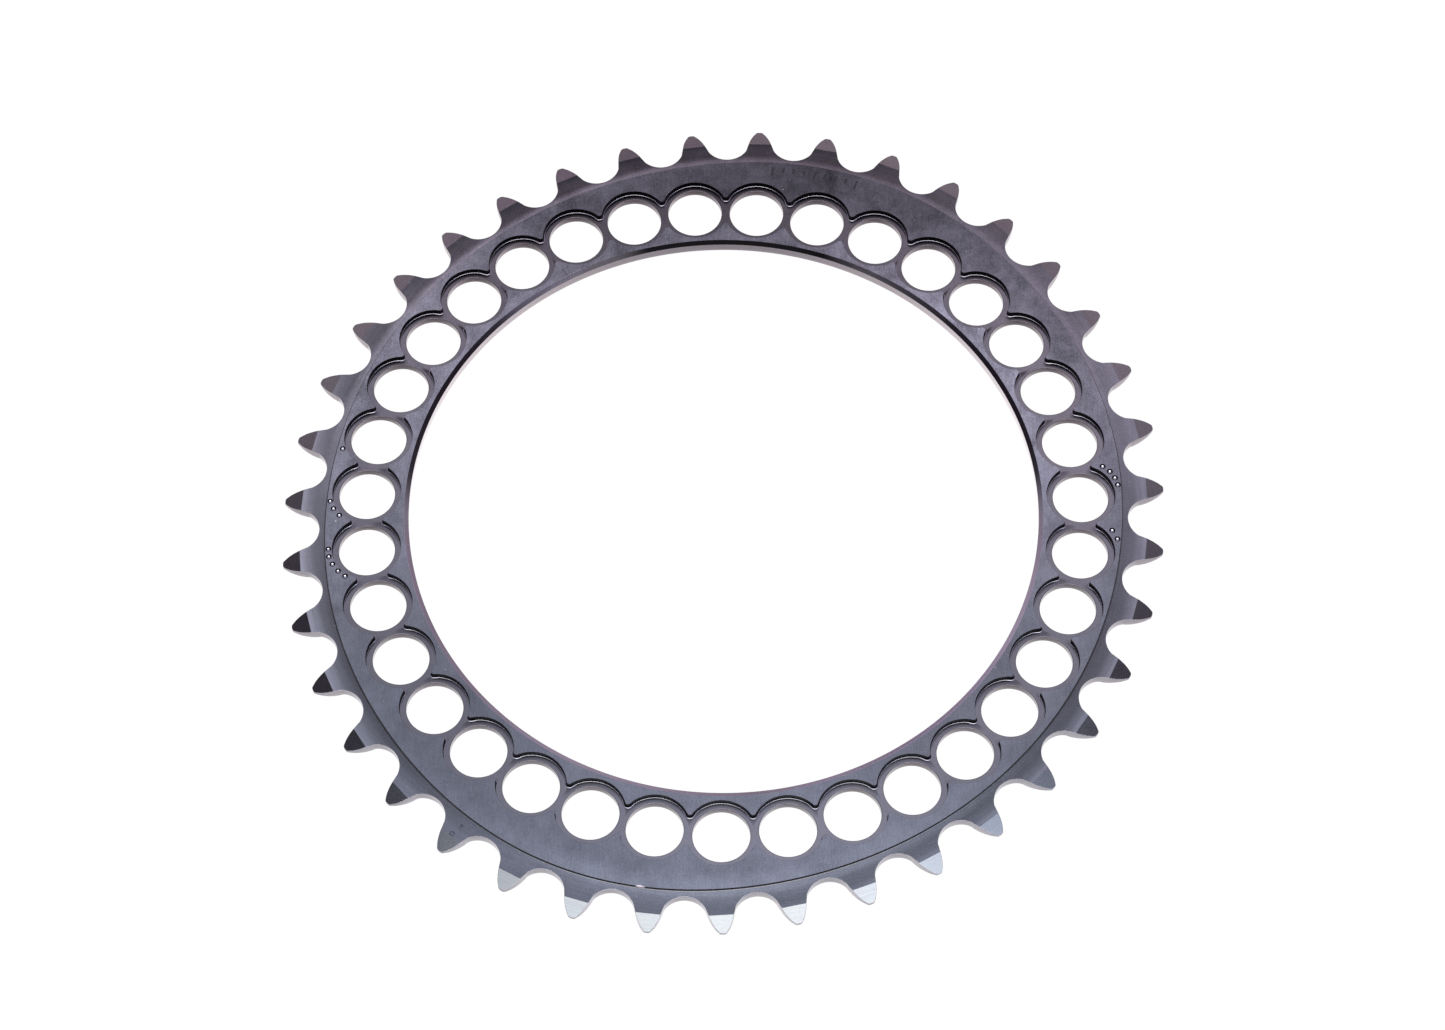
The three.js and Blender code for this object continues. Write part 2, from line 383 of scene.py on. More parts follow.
# Material slots, in the order the materials are made further down.
(FACE, BAND, BEVEL, STEP, SEAT_WALL, FLOOR, HOLE, BORE, FLANK, DIMPLE, MARK, BACK, CHAMFER,
 SEAT_FOOT) = range(14)
quads, triangles = [], []


def store_faces(store, places, normals, wear, slots, facing):
    """Keeps faces, turned round where `facing` goes against the corner normals."""
    flip = np.einsum("ij,ij->i", facing, normals.mean(1)) < 0
    for corners in (places, normals, wear):
        corners[flip] = corners[flip][:, ::-1]
    store.append((places, normals, wear, np.broadcast_to(slots, (len(places),))))


def strip(loops, slot):
    """Quads between successive closed loops. A loop is (points, normals, edge wear)."""
    for (points_a, normals_a, wear_a), (points_b, normals_b, wear_b) in zip(loops, loops[1:]):
        i = np.arange(len(points_a))
        j = (i + 1) % len(points_a)
        places = np.stack([points_a[i], points_a[j], points_b[j], points_b[i]], 1)
        normals = np.stack([normals_a[i], normals_a[j], normals_b[j], normals_b[i]], 1)
        wear = np.zeros((len(i), 4))
        wear[:, 0:2] = wear_a
        wear[:, 2:4] = wear_b
        facing = np.cross(places[:, 2] - places[:, 0], places[:, 3] - places[:, 1])
        store_faces(quads, places, normals, wear, slot, facing)


def add_triangles(places, normals, slots):
    facing = np.cross(places[:, 1] - places[:, 0], places[:, 2] - places[:, 0])
    store_faces(triangles, places, normals, np.zeros((len(places), 3)), slots, facing)


def inside(points, loops):
    """Even-odd test of points against all loops together, in batches."""
    start = np.concatenate(loops)
    end = np.concatenate([np.roll(loop, -1, axis=0) for loop in loops])
    run = end - start
    result = np.zeros(len(points), bool)
    batch = 1500
    for first in range(0, len(points), batch):
        x, y = (points[first:first + batch, axis, None] for axis in (0, 1))
        spans = (start[None, :, 1] > y) != (end[None, :, 1] > y)
        with np.errstate(divide="ignore", invalid="ignore"):
            crossing = start[None, :, 0] + (y - start[None, :, 1]) * run[None, :, 0] / run[None, :, 1]
        hits = np.count_nonzero(spans & (x < crossing), axis=1)
        result[first:first + batch] = (hits % 2) == 1
    return result


def fill(loops, extra=(), links=()):
    """Triangles between closed loops; extra points and links (pairs of indices) are kept."""
    points = np.concatenate(list(loops) + ([np.asarray(extra)] if len(extra) else []))
    edges, base = [], 0
    for loop in loops:
        count = len(loop)
        edges += [(base + i, base + (i + 1) % count) for i in range(count)]
        base += count
    edges += list(links)
    flat_points = [Vector((float(x), float(y))) for x, y in points]
    result = delaunay_2d_cdt(flat_points, edges, [], 0, 1e-6, True)
    if len(result[0]) != len(points):
        raise RuntimeError(f"fill made {len(result[0])} points from {len(points)}")
    ids = np.array([originals[0] for originals in result[3]])
    faces = ids[np.array([list(face) for face in result[2]])]
    return points, faces[inside(points[faces].mean(1), list(loops))]


def lift(points, z):
    return np.c_[points, np.broadcast_to(z, (len(points),))]


def tilted(plan, out, up):
    """Normals from plan directions: out along them and up along Z."""
    return unit(np.c_[plan * np.reshape(out, (-1, 1)), np.broadcast_to(up, (len(plan),))])


def upright(count, up=1.0):
    return np.tile([0.0, 0.0, up], (count, 1))


def plan_of(loop):
    return loop[0][:, :2]


def turned(centre, plan, profile):
    """Loops of a profile turned round a centre, one point for each plan direction."""
    return [(lift(plan * radius + centre, z), tilted(plan, out, up), wear)
            for radius, z, out, up, wear in profile]


def plane(loops, z, slot, extra=()):
    points, faces = fill(loops, extra)
    add_triangles(lift(points, z)[faces], np.tile([0, 0, 1.0], (len(faces), 3, 1)), slot)


def cap(points, normals, centre, slot):
    """Fan from a loop to its centre."""
    count = len(points)
    j = (np.arange(count) + 1) % count
    add_triangles(np.stack([points, points[j], np.tile(centre, (count, 1))], 1),
                  np.stack([normals, normals[j], upright(count)], 1), slot)


def rounded_edge(points, out, radius, wears):
    """Loops over the rounded edge of the front face at the head of a wall."""
    loops = []
    for k, wear in enumerate(wears):
        sine, cosine = math.sin(math.pi / 2 * k / 3), math.cos(math.pi / 2 * k / 3)
        place = points - out * (radius - radius * sine)[:, None]
        loops.append((lift(place, Z_FRONT - radius + radius * cosine),
                      tilted(out, sine, cosine), wear))
    return loops


# ---------------------------------------------------------------- open centre

bore_plan = directions(full_turn(HOLES * 22, HOLE_PHASE))
bore = turned([0.0, 0.0], bore_plan, BORE_PROFILE)
strip(bore[:4], CHAMFER)
strip(bore[3:], BORE)

# ---------------------------------------------------------------- bolt holes and their seats

HOLE_ANGLES = full_turn(HOLES, HOLE_PHASE)
HALF_STEP = math.pi / HOLES
ARC_STEPS, CUSP_STEPS = 30, 10


def scallop_curve(side):
    """Wall of the run-together seats on the outer (1) or inner (-1) side: points, directions
    off the solid, and how near each point is to a cusp (1 at the cusps)."""
    reach = math.sqrt((SEAT_R + CUSP_R) ** 2 - (BOLT_CIRCLE_R * math.sin(HALF_STEP)) ** 2)
    cusp_centre_r = BOLT_CIRCLE_R * math.cos(HALF_STEP) + side * reach
    points, off, nearness = [], [], []
    for angle in HOLE_ANGLES:
        radial = polar(1.0, angle)
        across = np.array([-radial[1], radial[0]])
        hole = BOLT_CIRCLE_R * radial
        tip = polar(cusp_centre_r, angle + HALF_STEP)
        limit = math.atan2((tip - hole) @ across, side * ((tip - hole) @ radial))
        for turn in np.linspace(-limit, limit, ARC_STEPS + 1):
            out = side * math.cos(turn) * radial + math.sin(turn) * across
            points.append(hole + SEAT_R * out)
            off.append(-out)
            nearness.append(max(0.0, 1.0 - (limit - abs(turn)) * SEAT_R / 1.3))
        next_hole = polar(BOLT_CIRCLE_R, angle + 2 * HALF_STEP)
        first = (hole - tip) / np.linalg.norm(hole - tip)
        last = (next_hole - tip) / np.linalg.norm(next_hole - tip)
        spread = math.acos(max(-1.0, min(1.0, float(first @ last))))
        for k in range(1, CUSP_STEPS):
            part = k / CUSP_STEPS
            out = (math.sin((1 - part) * spread) * first
                   + math.sin(part * spread) * last) / math.sin(spread)
            points.append(tip + CUSP_R * out)
            off.append(out)
            nearness.append(1.0)
    return np.array(points), np.array(off), ease(np.array(nearness))


seat_top, seat_foot = {}, {}
for side in (1, -1):
    points, off, nearness = scallop_curve(side)
    loops = rounded_edge(points, off, 0.024 + 0.013 * off[:, 1], (0.3, 0.8, 0.5, 0))
    cove = COVE_ARC + (COVE_CUSP - COVE_ARC) * nearness
    for k in range(9):
        sine, cosine = math.sin(math.pi / 2 * k / 8), math.cos(math.pi / 2 * k / 8)
        loops.append((lift(points + off * (cove - cove * cosine)[:, None],
                           SEAT_Z + cove - cove * sine), tilted(off, cosine, sine), 0))
    strip(loops[:10], SEAT_WALL)
    strip(loops[9:], SEAT_FOOT)
    seat_top[side] = plan_of(loops[0])
    seat_foot[side] = plan_of(loops[-1])

holes_floor, holes_back = [], []
for angle in HOLE_ANGLES:
    loops = turned(polar(BOLT_CIRCLE_R, angle), directions(full_turn(64)), HOLE_PROFILE)
    strip(loops, HOLE)
    holes_floor.append(plan_of(loops[0]))
    holes_back.append(plan_of(loops[-1]))

plane([seat_foot[1], seat_foot[-1]] + holes_floor, SEAT_Z, FLOOR)

# Front face inside the seats, with a ring of extra points to even out the triangles.
plane([plan_of(bore[0]), seat_top[-1]], Z_FRONT, FACE, extra=bore_plan[::4] * 58.45)

# ---------------------------------------------------------------- step down to the toothed band

STEP_ANGLES = full_turn(TEETH * 18, START)
step = rounded_edge(*root_curve(STEP_ANGLES, STEP_OUT), 0.033 + 0.014 * np.sin(STEP_ANGLES),
                    (0.5, 1, 0.8, 0))
for k in range(7):
    turn = math.pi / 2 * k / 6
    points, out = root_curve(STEP_ANGLES, STEP_OUT + COVE_R - COVE_R * math.cos(turn))
    facing = turn - TILT_IN if k == 6 else turn     # the last loop takes the band's own tilt
    step.append((lift(points, BAND_Z + COVE_R - COVE_R * math.sin(turn)),
                 tilted(out, math.cos(facing), math.sin(facing)), 0))
strip(step, STEP)

# ---------------------------------------------------------------- dimples and index marks


def dimple(x, y, radius):
    """A round-bottomed dimple with a small rounded lip; returns its rim in plan."""
    ball = (radius * radius + DIMPLE_DEPTH * DIMPLE_DEPTH) / (2 * DIMPLE_DEPTH)
    top = math.asin(radius / ball)
    profile = []
    for k, wear in enumerate((0.4, 0.6, 0)):
        turn = top * k / 2
        profile.append((radius + DIMPLE_EDGE * (math.sin(top) - math.sin(turn)),
                        Z_FRONT - DIMPLE_EDGE * (1 - math.cos(turn)),
                        -math.sin(turn), math.cos(turn), wear))
    lip_z = Z_FRONT - DIMPLE_EDGE * (1 - math.cos(top))
    for k in range(1, 7):
        turn = top * (1 - k / 7)
        profile.append((ball * math.sin(turn), lip_z - ball * (math.cos(turn) - math.cos(top)),
                        -math.sin(turn), math.cos(turn), 0))
    loops = turned([x, y], directions(full_turn(28)), profile)
    strip(loops, DIMPLE)
    bottom = np.array([x, y, lip_z - ball * (1 - math.cos(top))])
    cap(loops[-1][0], loops[-1][1], bottom, DIMPLE)
    return plan_of(loops[0])


def index_mark(number):
    """A radial round-ended groove, every fourth one long; returns its rim in plan."""
    angle = math.radians(82.6 - 1.55 * number)
    radial = polar(1.0, angle)
    across = np.array([-radial[1], radial[0]])
    outer = float(root_radius(angle)) - 2.15
    length = 1.9 if number % 4 == 0 else 1.15
    ends = np.repeat([radial * (outer - 0.16), radial * (outer - length)], 9, axis=0)
    turn = np.linspace(0, math.pi, 9)[:, None]
    plan = np.concatenate([np.cos(turn) * -across + np.sin(turn) * radial,
                           np.cos(turn) * across - np.sin(turn) * radial])
    loops = [(lift(ends + width * plan, Z_FRONT + z), tilted(plan, out, up), wear)
             for width, z, out, up, wear in MARK_PROFILE]
    strip(loops, MARK)
    bottom = loops[-1][0]
    cap(bottom, upright(len(bottom)), bottom.mean(0), MARK)
    return plan_of(loops[0])


cuts = [dimple(*row) for row in DIMPLES] + [index_mark(number) for number in range(9)]
plane([plan_of(step[0]), seat_top[1]] + cuts, Z_FRONT, FACE)

# ---------------------------------------------------------------- toothed band: front

# Extra points that carry the band's curvature: a ring near the step and a patch by each tooth.
extra = [root_curve(STEP_ANGLES[::2], -0.33)[0]]
for k in range(TEETH):
    extra.append(np.array([TOOTH_MID[k] + TOOTH_ALONG[k] * x + TOOTH_OUT[k] * height
                           for height, width in [(-0.45, 1.5), (-1.2, 1.7), (-2.0, 2.1), (-2.8, 2.6)]
                           for x in np.linspace(-width, width, 5)]))


def toothed_normals(points, faces, front):
    """Corner normals of the front or back with its tooth bevels, and which faces are bevel."""
    centres = points[faces].mean(1)
    teeth = nearest_tooth(centres)
    bevel = height_over(centres, teeth) > BEVEL_H
    if front:
        depth, out = root_depth(points)
        normals = np.c_[out * band_fall(depth)[1][:, None], np.ones(len(points))][faces]
    else:
        normals = np.tile([0, 0, -1.0], (len(faces), 3, 1))
    slope = FRONT_BEVEL if front else BACK_BEVEL
    normals[bevel, :, :2] += (slope * TOOTH_OUT[teeth[bevel]])[:, None, :]
    return unit(normals), bevel


COUNT = len(outline)
points, faces = fill([front_outline, plan_of(step[-1])], np.concatenate(extra), bevel_links)
normals, bevel = toothed_normals(points, faces, front=True)
z = front_z(points)
z[:COUNT] = front_z(front_outline, outline_tooth)
z[COUNT:COUNT + len(STEP_ANGLES)] = BAND_Z
add_triangles(lift(points, z)[faces], normals, np.where(bevel, BEVEL, BAND))

# ---------------------------------------------------------------- toothed band: walls and edges

depth, out = root_depth(front_outline)
on_bevel = front_height > BEVEL_H - 1e-6
top_normals = np.c_[out * band_fall(depth)[1][:, None], np.ones(COUNT)]
bottom_normals = upright(COUNT, -1.0)
for normals, slope in ((top_normals, FRONT_BEVEL), (bottom_normals, BACK_BEVEL)):
    normals[on_bevel, :2] += slope * TOOTH_OUT[outline_tooth[on_bevel]]
top_normals = unit(top_normals)
bottom_normals = unit(bottom_normals)
side_normals = tilted(outline_out, 1, 0)
slant_normals = tilted(outline_out, 1, -1)


def between(first, second, part):
    return unit(first * (1 - part) + second * part)


walls = [(lift(front_outline, front_z(front_outline, outline_tooth)), top_normals, 0.6)]
for part, wear in ((1 / 3, 1), (2 / 3, 0.8), (1.0, 0.1)):
    turn = math.pi / 2 * part
    place = outline - outline_out * EDGE * (1 - math.sin(turn))
    z = front_z(place, outline_tooth) - EDGE * (1 - math.cos(turn))
    walls.append((lift(place, z), between(top_normals, side_normals, part), wear))
# Broken back edge: inset and rise as shares of its size, normals, wear.
for inset, rise, normals, wear in (
        (0, 1, side_normals, 0.1),
        (0.12, 0.72, between(side_normals, slant_normals, 0.85), 0.5),
        (0.72, 0.12, between(slant_normals, bottom_normals, 0.15), 0.5),
        (1, 0, bottom_normals, 0.5)):
    place = outline - outline_out * (back_break * inset)[:, None]
    z = back_z(place, outline_tooth) + back_break * rise
    walls.append((lift(place, z), normals, wear))
strip(walls, FLANK)

# ---------------------------------------------------------------- back face

points, faces = fill([back_outline, plan_of(bore[-1])] + holes_back, links=bevel_links)
z = back_z(points)
z[:COUNT] = back_z(back_outline, outline_tooth)
z[COUNT:] = Z_BACK
add_triangles(lift(points, z)[faces], toothed_normals(points, faces, front=False)[0], BACK)

# ---------------------------------------------------------------- one closed mesh

WELD_GRID = 2e4                      # corners on the same 1/20000 mm become one vertex


def weld():
    """Vertices, faces, corner normals, corner wear and face slots of the joined pieces."""
    groups = [[np.concatenate(part) for part in zip(*store)] for store in (quads, triangles)]
    places = np.concatenate([group[0].reshape(-1, 3) for group in groups])
    keys = np.round(places * WELD_GRID).astype(np.int64)
    _, first, ids = np.unique(keys, axis=0, return_index=True, return_inverse=True)
    ids = ids.reshape(-1)
    faces, normals, wear, slots = [], [], [], []
    start = 0
    for group in groups:
        sides = group[0].shape[1]
        size = len(group[0]) * sides
        group_ids = ids[start:start + size].reshape(-1, sides)
        start += size
        for corners, normal, worn, slot in zip(group_ids, *group[1:]):
            keep = [i for i in range(sides) if corners[i] != corners[(i + 1) % sides]]
            face = [int(corners[i]) for i in keep]
            if len(face) < 3 or len(set(face)) < len(face):
                continue
            faces.append(face)
            normals.append(normal[keep])
            wear.append(worn[keep])
            slots.append(int(slot))
    return places[first], faces, np.concatenate(normals), np.concatenate(wear), slots


verts, faces, normals, wear, slots = weld()
mesh = bpy.data.meshes.new("chainring_body")
mesh.from_pydata((verts * 0.001).tolist(), [], faces)
mesh.polygons.foreach_set("material_index", np.array(slots, np.int32))
mesh.polygons.foreach_set("use_smooth", np.ones(len(faces), bool))
wear_colour = np.ones((len(wear), 4), np.float32)
wear_colour[:, :3] = wear[:, None]
wear_layer = mesh.attributes.new("edge_wear", "FLOAT_COLOR", "CORNER")
wear_layer.data.foreach_set("color", wear_colour.ravel())
uv_layer = mesh.uv_layers.new(name="plan")
corner_verts = np.zeros(len(mesh.loops), np.int32)
mesh.loops.foreach_get("vertex_index", corner_verts)
plan_uv = verts[corner_verts][:, :2] / 180.0 + 0.5     # the map covers 180 mm
uv_layer.data.foreach_set("uv", plan_uv.astype(np.float32).ravel())
mesh.update()
mesh.normals_split_custom_set([Vector(normal) for normal in normals])
body = bpy.data.objects.new("chainring_body", mesh)
bpy.context.scene.collection.objects.link(body)

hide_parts(NODE)
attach(body, "root")

# ---------------------------------------------------------------- node tree helpers


class Value:
    """An output socket; arithmetic on it adds Math nodes."""

    def __init__(self, graph, socket):
        self.graph = graph
        self.socket = socket

    def __add__(self, other):
        return self.graph.math("ADD", self, other)

    def __radd__(self, other):
        return self.graph.math("ADD", other, self)

    def __sub__(self, other):
        return self.graph.math("SUBTRACT", self, other)

    def __rsub__(self, other):
        return self.graph.math("SUBTRACT", other, self)

    def __mul__(self, other):
        return self.graph.math("MULTIPLY", self, other)

    def __truediv__(self, other):
        return self.graph.math("DIVIDE", self, other)

    def __rtruediv__(self, other):
        return self.graph.math("DIVIDE", other, self)


class Graph:
    """Builds a node tree; a Value goes in wherever a number can."""

    def __init__(self, tree):
        self.tree = tree
        tree.nodes.clear()

    def new(self, kind, inputs=(), **settings):
        node = self.tree.nodes.new(kind)
        for name, setting in settings.items():
            setattr(node, name, setting)
        for key, value in dict(inputs).items():
            if isinstance(value, Value):
                self.tree.links.new(value.socket, node.inputs[key])
            else:
                node.inputs[key].default_value = value
        return node

    def value(self, kind, inputs=(), output=0, **settings):
        return Value(self, self.new(kind, inputs, **settings).outputs[output])

    def split(self, kind, source):
        return [Value(self, socket) for socket in self.new(kind, {0: source}).outputs]

    def math(self, operation, *values, clamp=False):
        return self.value("ShaderNodeMath", dict(enumerate(values)), operation=operation,
                          use_clamp=clamp)

    def vector(self, operation, *values, output=0):
        return self.value("ShaderNodeVectorMath", dict(enumerate(values)), output,
                          operation=operation)

    def scale_add(self, value, factor, added):
        return self.math("MULTIPLY_ADD", value, factor, added)

    def blend(self, part, first, second):
        return self.scale_add(part, second - first, first)

    def hypot(self, x, y):
        return self.math("SQRT", x * x + y * y)

    def ramp(self, value, start, end, at_start=0.0, at_end=1.0):
        """Smooth change from at_start to at_end while value goes from start to end."""
        return self.value("ShaderNodeMapRange", {
            "Value": value, "From Min": start, "From Max": end, "To Min": at_start,
            "To Max": at_end}, interpolation_type="SMOOTHSTEP")

    def noise(self, place, scale, detail, rough, distortion=0.0):
        return self.value("ShaderNodeTexNoise", {
            "Vector": place, "Scale": scale, "Detail": detail, "Roughness": rough,
            "Distortion": distortion})

    def mix(self, part, first, second, blend="MIX"):
        return self.value("ShaderNodeMix", {0: part, 6: first, 7: second}, output=2,
                          data_type="RGBA", blend_type=blend)

    def times(self, colour, level):
        grey = self.value("ShaderNodeCombineColor", {0: level, 1: level, 2: level})
        return self.mix(1.0, colour, grey, "MULTIPLY")


class Surface(Graph):
    """A material's tree, with the place on the ring in millimetres."""

    def __init__(self, tree):
        super().__init__(tree)
        place = self.value("ShaderNodeTexCoord", output="Object")
        self.place = self.vector("MULTIPLY", place, (1000.0, 1000.0, 1000.0))
        self.x, self.y, self.z = self.split("ShaderNodeSeparateXYZ", self.place)

    def stretched_noise(self, stretch, detail, rough):
        return self.noise(self.vector("MULTIPLY", self.place, stretch), 1.0, detail, rough)

    def distance(self, centre, stretch, angle=None):
        """Distance from a centre, in axes turned by angle about Z and stretched."""
        away = self.vector("SUBTRACT", self.place, centre)
        if angle is not None:
            away = self.value("ShaderNodeVectorRotate", {"Vector": away, "Angle": angle},
                              rotation_type="Z_AXIS")
        return self.vector("LENGTH", self.vector("MULTIPLY", away, stretch), output=1)


def swing(noise, amount):
    """Noise centred on zero, scaled by amount."""
    return (noise - 0.5) * amount


# ---------------------------------------------------------------- light across the ring

# Log brightness round the ring: mean, then cosine and sine of 1, 2 and 3 times the direction.
TRIMS = {
    "rim": (0.266, 0.121, 0.283, 0.103, 0.059, 0.005, 0.251),      # front face by the bore
    "mid": (0.044, 0.055, -0.048, 0.166, -0.102, -0.004, 0.169),   # front face further out
    "out": (0.080, -0.076, -0.098, 0.121, -0.104, 0.022, 0.256),   # front face by the step
    "b5": (0.209, -0.101, 0.497, -0.343, -0.236, 0.045, 0.261),    # band from the step ...
    "b3": (-0.12, -0.022, 0.067, 0.033, 0.061, 0.013, 0.159),
    "b1": (-0.043, -0.029, -0.025, 0.254, 0.069, -0.011, 0.011),
    "b0": (0.010, 0.017, -0.213, 0.446, 0.031, -0.138, 0.019),     # ... to the teeth
    "seat": (-0.017, 0.079, -0.045, 0.066, -0.010, -0.019, 0.183),
    "bevel": (-0.08, 0.068, 0.164, -0.103, -0.058, -0.03, 0.062),
}


def zone_light(graph, zone):
    """Brightness of a zone by direction and, on the face and band, by distance out."""
    x, y = graph.x - float(OVAL[0]), graph.y
    radius = graph.hypot(x, y)
    cos1, sin1 = x / radius, y / radius
    cos2, sin2 = cos1 * cos1 - sin1 * sin1, sin1 * cos1 + cos1 * sin1
    cos3, sin3 = cos1 * cos2 - sin1 * sin2, sin1 * cos2 + cos1 * sin2

    def series(key):
        total, *weights = TRIMS[key]
        for weight, wave in zip(weights, (cos1, sin1, cos2, sin2, cos3, sin3)):
            total = graph.scale_add(wave, weight, total)
        return total

    def beyond(mean):
        """Distance outside the oval of this mean radius, from its three largest waves."""
        edge = graph.scale_add(cos2, WAVES[0][1], mean)
        edge = graph.scale_add(sin2, WAVES[0][2], edge)
        sin4 = sin2 * cos2 + cos2 * sin2
        return radius - graph.scale_add(sin4, WAVES[1][2], edge)

    if zone == "face":
        part = graph.ramp(beyond(ROOT_R + STEP_OUT), -4.2, -0.6)
        outer = graph.blend(part, series("mid"), series("out"))
        level = graph.blend(graph.ramp(radius, 60.5, 70.5), series("rim"), outer)
    elif zone == "band":
        depth = beyond(ROOT_R)
        level = series("b5")
        for key, start, end in (("b3", -0.6, 1.0), ("b1", 0.9, 2.3), ("b0", 2.2, 3.3)):
            level = graph.blend(graph.ramp(depth, start, end), level, series(key))
    else:
        level = series(zone)
    return graph.math("EXPONENT", level)


def seat_reflection(graph):
    """The dark seat wall mirrored in the seat's floor: how much light is left before it."""
    x, y = graph.x, graph.y
    spacing = 2 * math.pi / HOLES
    number = graph.math("ROUND", (graph.math("ARCTAN2", y, x) - HOLE_PHASE) / spacing)
    angle = graph.scale_add(number, spacing, HOLE_PHASE)
    cosine, sine = graph.math("COSINE", angle), graph.math("SINE", angle)
    from_x = graph.scale_add(cosine, -BOLT_CIRCLE_R, x)        # from the nearest hole's centre
    from_y = graph.scale_add(sine, -BOLT_CIRCLE_R, y)
    chord = graph.scale_add(from_x * -1.0, from_x, SEAT_R * SEAT_R)
    gap = graph.math("SQRT", graph.math("MAXIMUM", chord, 0.01)) - from_y
    left = graph.ramp(gap, 0.50, 1.55, at_start=0.24)
    distance = graph.hypot(from_x, from_y)
    radial = graph.math("ABSOLUTE", from_x * cosine + from_y * sine)
    off_web = graph.ramp(radial / distance, 0.18, 0.45)        # fades between two holes
    strength = off_web * graph.ramp(graph.y, 0.0, 40.0, at_start=0.55)
    return 1.0 - strength * (1.0 - left)


def chamfer_light(graph, radius):
    """The lead-in chamfer sees the ceiling on the near side and dark flags on the far side."""
    cos_x, sin_y = graph.x / radius, graph.y / radius

    def lobe(degrees, start, end):
        """A patch of the ring round a direction, between two cosines of the angle off it."""
        angle = math.radians(degrees)
        return graph.ramp(cos_x * math.cos(angle) + sin_y * math.sin(angle), start, end)

    far = graph.scale_add(lobe(126.0, 0.978, 0.9986), 0.09, 0.08)
    far = graph.math("MAXIMUM", far * (1.0 - lobe(87.5, 0.880, 0.968)), 0.0025)
    close = graph.scale_add(lobe(308.0, 0.82, 0.98), 0.30, 0.43)
    return graph.blend(graph.ramp(sin_y, 0.16, -0.04), far, close)


# ---------------------------------------------------------------- materials

WORN_AND_HIGHLIGHT = (0.50, 0.455, 0.47, 1)        # uncoated metal on rubbed edges, and the colour of the step's painted edge highlight
CHALK = (0.62, 0.60, 0.62, 1)        # pale dust


def painted_wall_light(graph, shade, colour, sideways, low, near_end, rightward=0.0):
    """Painted light and shade on cut walls: the dark base is painted shade, and they turn to a
    painted lit colour by facing, low down and towards the near end (-Y).
    The last four arguments weigh facing +-X, lowness, nearness and facing +X."""
    normal = graph.value("ShaderNodeNewGeometry", output="Normal")
    face_x = graph.split("ShaderNodeSeparateXYZ", normal)[0]
    wall_lit_share = face_x * face_x * sideways + graph.ramp(graph.z, 1.15, 0.35) * low
    wall_lit_share = graph.scale_add(face_x, rightward, wall_lit_share)
    nearness = graph.ramp(graph.y, 55.0, -65.0) * near_end
    return graph.mix(graph.math("ADD", wall_lit_share, nearness, clamp=True), shade, (*colour, 1))


def speckle(graph, specks):
    """Pale dust and pinpricks, as a mask."""
    def cells(scale):
        node = graph.new("ShaderNodeTexVoronoi", {
            "Vector": graph.place, "Scale": scale, "Randomness": 1.0}, feature="F1")
        colour = graph.split("ShaderNodeSeparateColor", Value(graph, node.outputs["Color"]))
        return Value(graph, node.outputs["Distance"]), colour

    def dots(distance, size, pick, least):
        return (graph.math("LESS_THAN", distance, size)
                * graph.math("GREATER_THAN", pick, least))

    distance, pick = cells(0.85)
    size = graph.math("POWER", pick[1], 3.0) * 0.085 + 0.022
    coarse = dots(distance, size, pick[0], least=0.74)
    distance, pick = cells(2.6)
    fine = dots(distance, 0.10, pick[0], least=0.80)
    return graph.math("ADD", coarse * specks, fine * (specks * 0.38), clamp=True)


def add_marks(graph, dust, colour):
    """A nick on the step's edge, a fleck, a small dark ring and a smudge beside it."""
    jag = swing(graph.noise(graph.place, scale=4.0, detail=2.0, rough=0.5), 0.3)
    away = graph.distance((-14.6, -75.07, Z_FRONT - 0.16), (0.42, 1.7, 1.7),
                          angle=math.radians(10.8))
    nick = graph.ramp(away + jag, 0.44, 0.34)
    fleck = graph.ramp(graph.distance((-70.3, -2.6, Z_FRONT), (1, 1, 1)), 0.20, 0.10)
    dust = graph.math("MAXIMUM", dust, graph.math("MAXIMUM", nick, fleck * 0.8))
    off_ring = graph.math("ABSOLUTE", graph.distance((-47.4, -64.6, 0), (1, 1, 0)) - 0.36)
    # a small ring darkened in the colour
    dark_ring = graph.ramp(off_ring, 0.17, 0.03) * 0.5
    smudge = graph.ramp(graph.distance((-45.8, -63.2, 0), (1, 1, 0)), 0.55, 0.1) * 0.38
    colour = graph.times(colour, 1.0 - graph.math("MAXIMUM", dark_ring, smudge))
    return dust, colour, graph.mix(nick, CHALK, (1.0, 0.93, 0.95, 1))


